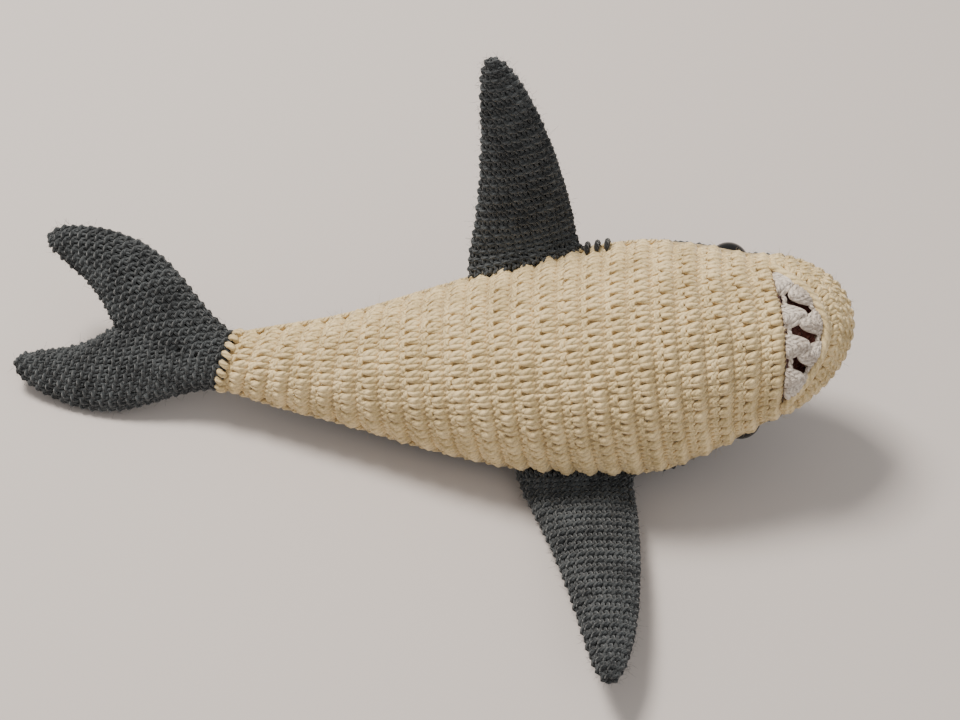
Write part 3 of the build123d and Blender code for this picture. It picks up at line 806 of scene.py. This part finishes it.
def root_ring(hinge, chord, out, half_chord, half_depth):
    """The ring where a fin meets the body, pressed on to the body's surface."""
    angle = np.linspace(0, 2 * math.pi, 90)
    ring = hinge + np.cos(angle)[:, None] * half_chord * chord
    ring = ring + np.sin(angle)[:, None] * half_depth * np.cross(out, chord)
    ring = ring - out * (half_depth + FIN_SEAM_INSET)
    y = ring[:, 1] - bend(ring[:, 0])
    w = half_width(ring[:, 0])
    depth = np.where(ring[:, 2] > 0, BELLY_DEPTH, BACK_DEPTH)
    size = np.sqrt((y / w) ** 2 + (ring[:, 2] / (depth * w)) ** 2)
    points = stack(ring[:, 0], bend(ring[:, 0]) + y / size, ring[:, 2] / size)
    normal = stack(0.0 * y, y / w**2, ring[:, 2] / (depth * w) ** 2)
    normal /= np.linalg.norm(normal, axis=-1, keepdims=True)
    return place(points + normal * FIN_SEAM_LIFT), (normal * 0.7 + out * 0.3) @ TURN.T


def fin_seam(name, ring, mat):
    """The sewing stitches round a fin's root."""
    line, normal = root_ring(*ring)
    parts = [(whip(line, normal, FIN_SEWING), 0)]
    piece(name + "_stitches", parts, mat["grey"], "trunk", [name + "_seam"])


def build_fin_seams(mat):
    for name in PECTORALS:
        hinge, chord, out, _ = fin_frames(name)
        half_chord, half_depth = PECTORALS[name][4] * 1.05, PECTORALS[name][5] * 1.15
        fin_seam(name + "_pectoral", (hinge, chord, out, half_chord, half_depth), mat)
    hinge, chord, out, _, _ = dorsal_frame()
    fin_seam("dorsal", (hinge, chord, out, DORSAL[3] * 1.05, DORSAL[4] * 1.2), mat)


def build_tail_seam(mat):
    angle = np.linspace(0, 2 * math.pi, 90)
    x = TAIL_END + TAIL_SEAM_AHEAD + math.tan(TAIL_SWING) * TAIL_END_WIDTH * np.cos(angle)
    points = body_point(x, angle)
    normal = stack(0.0 * angle, np.cos(angle), np.sin(angle)) @ TURN.T
    line = place(points)
    parts = [(whip(line, normal, TAIL_SEWING), 0)]
    piece("tail_stitches", parts, mat["cream"], "trunk", ["tail_seam"])


def build_gills(mat):
    t = np.linspace(-1, 1, 13)
    lift = GILL_LIFT * (1 - np.abs(t) ** 5)
    for name, (first, below_seam) in GILLS.items():
        turn = -math.radians(below_seam) + GILL_HALF_TURN * t
        angle = turn if name == "right" else math.pi - turn
        normal = stack(0.0 * angle, np.cos(angle), np.sin(angle))
        lines = []
        for i in range(GILL_COUNT):
            point = body_point(np.full(len(t), first + GILL_PITCH * i), angle)
            lines.append(place(point + normal * lift[:, None]))
        ups = np.repeat((normal @ TURN.T)[None], GILL_COUNT, 0)
        parts = [(tubes(np.array(lines), ups, GILL_RADIUS * np.ones(len(t)), sides=8), 0)]
        piece(name + "_gills", parts, [mat["black"]], "trunk", [name + "_gill_stitches"])


def lining(a, b):
    """The part of the mouth's bowl that has stitches, b counting their rows."""
    return mouth(0.06 + 0.88 * a, b / len(LINING_STITCHES))


def build_mouth(mat):
    a, b = np.meshgrid(np.linspace(0, 1, 60), np.linspace(0, 1, 20), indexing="xy")
    parts = [(grid(place(mouth(a, b))), 0)]
    rows = range(len(LINING_STITCHES))
    parts.append((strands(lining, LINING_STITCHES, rows, ARM, LINING_YARN, 1, LINING_HEIGHT), 0))
    piece("mouth_fabric", parts, [mat["pink"]], "trunk", ["mouth_lining"])
    lips = (("lower", BELLY_LIP, LOWER_TEETH, 1), ("upper", SNOUT_LIP, UPPER_TEETH, -1))
    for name, middle, teeth, way in lips:
        parts = [(tooth_band(middle, way), 0)]
        for y, length in teeth:
            parts += [(p, 0) for p in tooth(middle, y, length, way)]
        piece(name + "_picots", parts, [mat["white"]], "trunk", [name + "_teeth"])


def lip_surface(middle, way):
    """Points at a place across the mouth, a reach into it and a height over the body's surface."""

    def point(y, reach, height):
        s = y / MOUTH_HALF_WIDTH
        ball = lip_ball(s, middle)
        spot = nose_point(ball)
        x = spot[..., 0] + way * reach
        ball_x = (x - NOSE_CENTRE) / NOSE_LENGTH
        up = np.sqrt(np.maximum(1 - ball_x**2 - ball[..., 1] ** 2, 0)) * BELLY_DEPTH * NOSE_HALF_WIDTH
        return place(stack(x, spot[..., 1], up + height))

    return point


def tooth_band(middle, way):
    """A row of small stitches along a lip."""
    t = np.linspace(-1, 1, 7)
    arch = np.cos(t * math.pi / 2)[None]
    y = np.linspace(-BAND_HALF_WIDTH, BAND_HALF_WIDTH, BAND_STITCHES)[:, None] + t[None] * 0.0019
    reach = 0.0012 + 0.0010 * arch + 0 * y
    height = -0.0022 + 0.0018 * arch + 0 * y
    line = lip_surface(middle, way)(y, reach, height)
    return tubes(line, np.broadcast_to(TOOTH_UP @ TURN.T, line.shape), BAND_YARN * np.ones(len(t)))


def tooth(middle, y, length, way):
    """A pointed tooth: loops of yarn one inside the other, with a few stitches across it."""
    point = lip_surface(middle, way)
    up = TOOTH_UP @ TURN.T
    made = []
    t = np.linspace(-1, 1, 17)
    for k, (wide, tall, high) in enumerate(TOOTH_LOOPS):
        half = TOOTH_BASE / 2 * wide - 0.0006
        across = y + half * np.sign(t) * np.abs(t) ** 0.85 + RNG.normal(0, 0.0002)
        reach = length * tall * (1 - np.abs(t) ** 1.5)
        height = -0.0008 + high + 0.0012 * (1 - np.abs(t)) + 0.0003 * np.sin(9 * t + k)
        line = point(across, reach, height)[None]
        made.append(tubes(line, np.broadcast_to(up, line.shape), TOOTH_YARN * np.ones(len(t)), sides=8))
    u = np.linspace(-1, 1, 7)
    for k in range(TOOTH_BARS):
        share = (k + 0.6) / TOOTH_BARS
        half = TOOTH_BASE / 2 * (1 - share) * 0.8
        across = y + half * u
        reach = length * share * 0.9 + 0.0008 * np.cos(u * 3)
        height = 0.0006 + 0.0009 * np.cos(u * math.pi / 2)
        line = point(across, reach, height)[None]
        made.append(tubes(line, np.broadcast_to(up, line.shape), TOOTH_BAR_YARN * np.ones(len(u))))
    return made


def dress_cad(mat):
    """Materials of the CAD pieces that stay in view or inside."""
    for name, node in frame["nodes"].items():
        if node.hide_render:
            continue
        node.data.materials.clear()
        if name.endswith("_eye"):
            node.data.materials.append(mat["eye"])
        elif name.endswith("washer"):
            node.data.materials.append(mat["washer"])
        else:
            node.data.materials.append(mat["stuffing"])


def eye_places():
    """Where each eye sits on the body, in the row frame."""
    places = []
    for name, (x, below_seam) in EYE_SPOTS.items():
        turn = math.radians(below_seam)
        angle = -turn if name == "right" else math.pi + turn
        places.append(place(body_point(np.array(x), np.array(angle))))
    return places


def build_set():
    """The floor and the lights."""
    bpy.ops.mesh.primitive_plane_add(size=30.0, location=(0, 0, 0))
    floor = bpy.context.object
    floor.name = "floor"
    floor.data.materials.append(plain("floor_paint", FLOOR, 0.75))
    world = bpy.data.worlds.new("studio")
    bpy.context.scene.world = world
    world.use_nodes = True
    world.node_tree.nodes["Background"].inputs["Color"].default_value = (1.0, 0.97, 0.93, 1)
    world.node_tree.nodes["Background"].inputs["Strength"].default_value = AMBIENT
    for name, spot, size, power, colour in LAMPS:
        data = bpy.data.lights.new(name, "AREA")
        data.size = size
        data.energy = power
        data.color = colour
        lamp = bpy.data.objects.new(name, data)
        lamp.location = spot
        lamp.rotation_euler = (Vector((0, 0, 0.03)) - Vector(spot)).to_track_quat("-Z", "Y").to_euler()
        bpy.context.scene.collection.objects.link(lamp)


def build_camera():
    data = bpy.data.cameras.new("camera")
    data.lens = CAMERA_LENS
    camera = bpy.data.objects.new("camera", data)
    azimuth, elevation = math.radians(CAMERA_AZIMUTH), math.radians(CAMERA_ELEVATION)
    back_way = Vector((
        math.sin(azimuth) * math.cos(elevation),
        -math.cos(azimuth) * math.cos(elevation),
        math.sin(elevation),
    ))
    camera.location = Vector(CAMERA_AIM) + back_way * CAMERA_DISTANCE
    camera.rotation_mode = "QUATERNION"
    camera.rotation_quaternion = (-back_way).to_track_quat("-Z", "Y") @ Matrix.Rotation(
        math.radians(CAMERA_ROLL), 4, "Z").to_quaternion()
    bpy.context.scene.collection.objects.link(camera)
    bpy.context.scene.camera = camera


RNG = np.random.default_rng(7)
WIDTHS = width_table()
TURN = rotation()
TAIL_JOINT = next(joint for joint in frame["joints"] if joint["name"] == "tail_swing")
SHIFT = np.array(TAIL_JOINT["pos_m"]) - TURN @ tail_hinge()
BACK_STATION = TAIL_END + (NOSE_TIP - TAIL_END) * np.sin(np.linspace(0, math.pi / 2, 500))
BACK_STEP = np.hypot(np.diff(BACK_STATION), np.diff(BACK_DEPTH * half_width(BACK_STATION)))
BACK_LENGTH = np.concatenate([[0], np.cumsum(BACK_STEP)])
EYES = eye_places()

# The shade colours are darker copies of the wool colours: painted shade for the backing and the seam cords,
# which show in the gaps between stitches.
CREAM_WOOL = ((0.59, 0.445, 0.225), (0.87, 0.68, 0.38))
CREAM_SHADE = ((0.40, 0.30, 0.16), (0.56, 0.43, 0.24))
GREY_WOOL = ((0.014, 0.016, 0.018), (0.069, 0.076, 0.080))
GREY_SHADE = ((0.006, 0.007, 0.008), (0.012, 0.013, 0.015))
MATERIALS = {
    "cream": [yarn("cream_wool", *CREAM_WOOL), yarn("cream_shade", *CREAM_SHADE)],
    "grey": [yarn("grey_wool", *GREY_WOOL), yarn("grey_shade", *GREY_SHADE)],
    "white": yarn("white_wool", (0.46, 0.385, 0.32), (0.78, 0.69, 0.60)),
    "pink": yarn("pink_wool", (0.20, 0.065, 0.05), (0.33, 0.13, 0.10)),
    "black": yarn("black_wool", (0.006, 0.006, 0.006), (0.015, 0.015, 0.015)),
    "eye": plain("eye_black", (0.004, 0.004, 0.004), 0.25, 0.3),
    "washer": plain("washer_white", (0.8, 0.8, 0.8), 0.4),
    "stuffing": plain("fibre_fill", (0.8, 0.8, 0.78), 0.95),
}

build_belly(MATERIALS)
build_snout(MATERIALS)
build_back(MATERIALS)
build_pectoral("right", MATERIALS)
build_pectoral("left", MATERIALS)
build_dorsal(MATERIALS)
build_tail(MATERIALS)
build_side_seams(MATERIALS)
build_fin_seams(MATERIALS)
build_tail_seam(MATERIALS)
build_gills(MATERIALS)
build_mouth(MATERIALS)
dress_cad(MATERIALS)
build_set()
build_camera()
